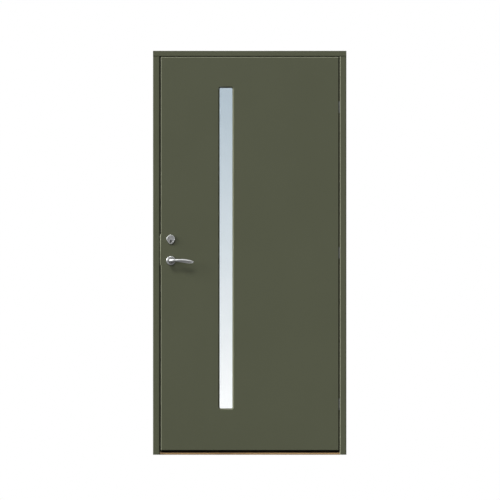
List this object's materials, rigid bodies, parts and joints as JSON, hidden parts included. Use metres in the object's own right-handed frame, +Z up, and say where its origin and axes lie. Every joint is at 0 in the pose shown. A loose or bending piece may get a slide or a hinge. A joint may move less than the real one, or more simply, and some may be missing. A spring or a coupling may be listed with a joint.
{
  "type": "front door",
  "caption": "Outward-opening flush front door leaf with a tall slot window, lever handle and round key cylinder, hung in its rebated timber frame.",
  "frame": {"origin": "floor line under the frame, mid width, mid thickness of the closed leaf", "axes": "+X to the right seen from outside, +Y into the building, +Z up; the leaf's outer face looks along -Y"},
  "size_m": [0.996, 0.181, 2.08],
  "materials": {
    "paint": "satin grey-green lacquer",
    "oak": "oiled oak",
    "edge_wood": "painted timber edge",
    "foam": "rigid foam",
    "seal": "black seal",
    "glass": "insulating glass",
    "spacer": "black warm-edge spacer",
    "plastic": "hard plastic",
    "satin_steel": "satin stainless",
    "brass": "nickel-plated brass",
    "zinc_steel": "zinc-plated steel"
  },
  "bodies": {
    "frame": {"lock_jamb": "paint", "hinge_jamb": "paint", "header": "paint", "threshold": "oak", "lock_side_seal": "seal", "hinge_side_seal": "seal", "head_seal": "seal", "threshold_seal": "seal", "strike_plate": "zinc_steel", "strike_screws": "zinc_steel", "corner_screws": "zinc_steel", "threshold_screws": "zinc_steel", "hinge_housing_screws": "zinc_steel", "hinge_pins": "zinc_steel", "bottom_hinge_housing": "zinc_steel", "middle_hinge_housing": "zinc_steel", "top_hinge_housing": "zinc_steel"},
    "leaf": {"outer_skin": "paint", "inner_skin": "paint", "lock_stile": "edge_wood", "hinge_stile": "edge_wood", "top_rail": "edge_wood", "bottom_rail": "edge_wood", "insulation_core": "foam", "window_liner": "edge_wood", "outer_pane": "glass", "middle_pane": "glass", "inner_pane": "glass", "outer_spacer": "spacer", "inner_spacer": "spacer", "outer_glazing_tape": "seal", "inner_glazing_tape": "seal", "setting_blocks": "plastic", "outer_glazing_bead": "paint", "inner_glazing_bead": "paint", "pry_guard": "paint", "pry_guard_screws": "zinc_steel", "lock_case": "zinc_steel", "lock_faceplate": "zinc_steel", "faceplate_screws": "zinc_steel", "outer_rose": "satin_steel", "inner_rose": "satin_steel", "cylinder_ring": "satin_steel", "cylinder_housing": "satin_steel", "thumbturn_rose": "satin_steel", "hinge_arm_screws": "zinc_steel", "bottom_hinge_arm": "zinc_steel", "middle_hinge_arm": "zinc_steel", "top_hinge_arm": "zinc_steel"},
    "lever": {"outer_lever": "satin_steel", "inner_lever": "satin_steel", "lever_spindle": "zinc_steel", "lever_follower": "zinc_steel"},
    "latch": {"latch_bolt": "zinc_steel"},
    "thumbturn": {"thumbturn": "satin_steel", "drive_bar": "zinc_steel", "bolt_pinion": "zinc_steel"},
    "plug": {"key_plug": "brass"},
    "deadbolt": {"deadbolt": "zinc_steel"}
  },
  "joints": [
    {"name": "leaf_swing", "type": "hinge", "parent": "frame", "child": "leaf", "pos_m": [0.478, -0.018, 1.04], "axis": [0, 0, 1], "range_deg": [0, 100]},
    {"name": "lever_turn", "type": "hinge", "parent": "leaf", "child": "lever", "pos_m": [-0.4065, 0, 1], "axis": [0, 1, 0], "range_deg": [0, 40], "stiffness_Nm_per_rad": 1.2, "springref_deg": -20.05},
    {"name": "latch_slide", "type": "slide", "parent": "leaf", "child": "latch", "axis": [1, 0, 0], "range_m": [0, 0.014]},
    {"name": "thumbturn_turn", "type": "hinge", "parent": "leaf", "child": "thumbturn", "pos_m": [-0.4065, 0, 1.098], "axis": [0, 1, 0], "range_deg": [0, 90]},
    {"name": "plug_turn", "type": "hinge", "parent": "leaf", "child": "plug", "pos_m": [-0.4065, 0, 1.098], "axis": [0, 1, 0], "range_deg": [0, 90]},
    {"name": "deadbolt_throw", "type": "slide", "parent": "leaf", "child": "deadbolt", "axis": [-1, 0, 0], "range_m": [0, 0.02]}
  ],
  "couplings": [
    {"joint": "latch_slide", "follows": "lever_turn", "m_per_rad": 0.020053},
    {"joint": "plug_turn", "follows": "thumbturn_turn", "ratio": 1},
    {"joint": "deadbolt_throw", "follows": "thumbturn_turn", "m_per_rad": 0.012732}
  ]
}
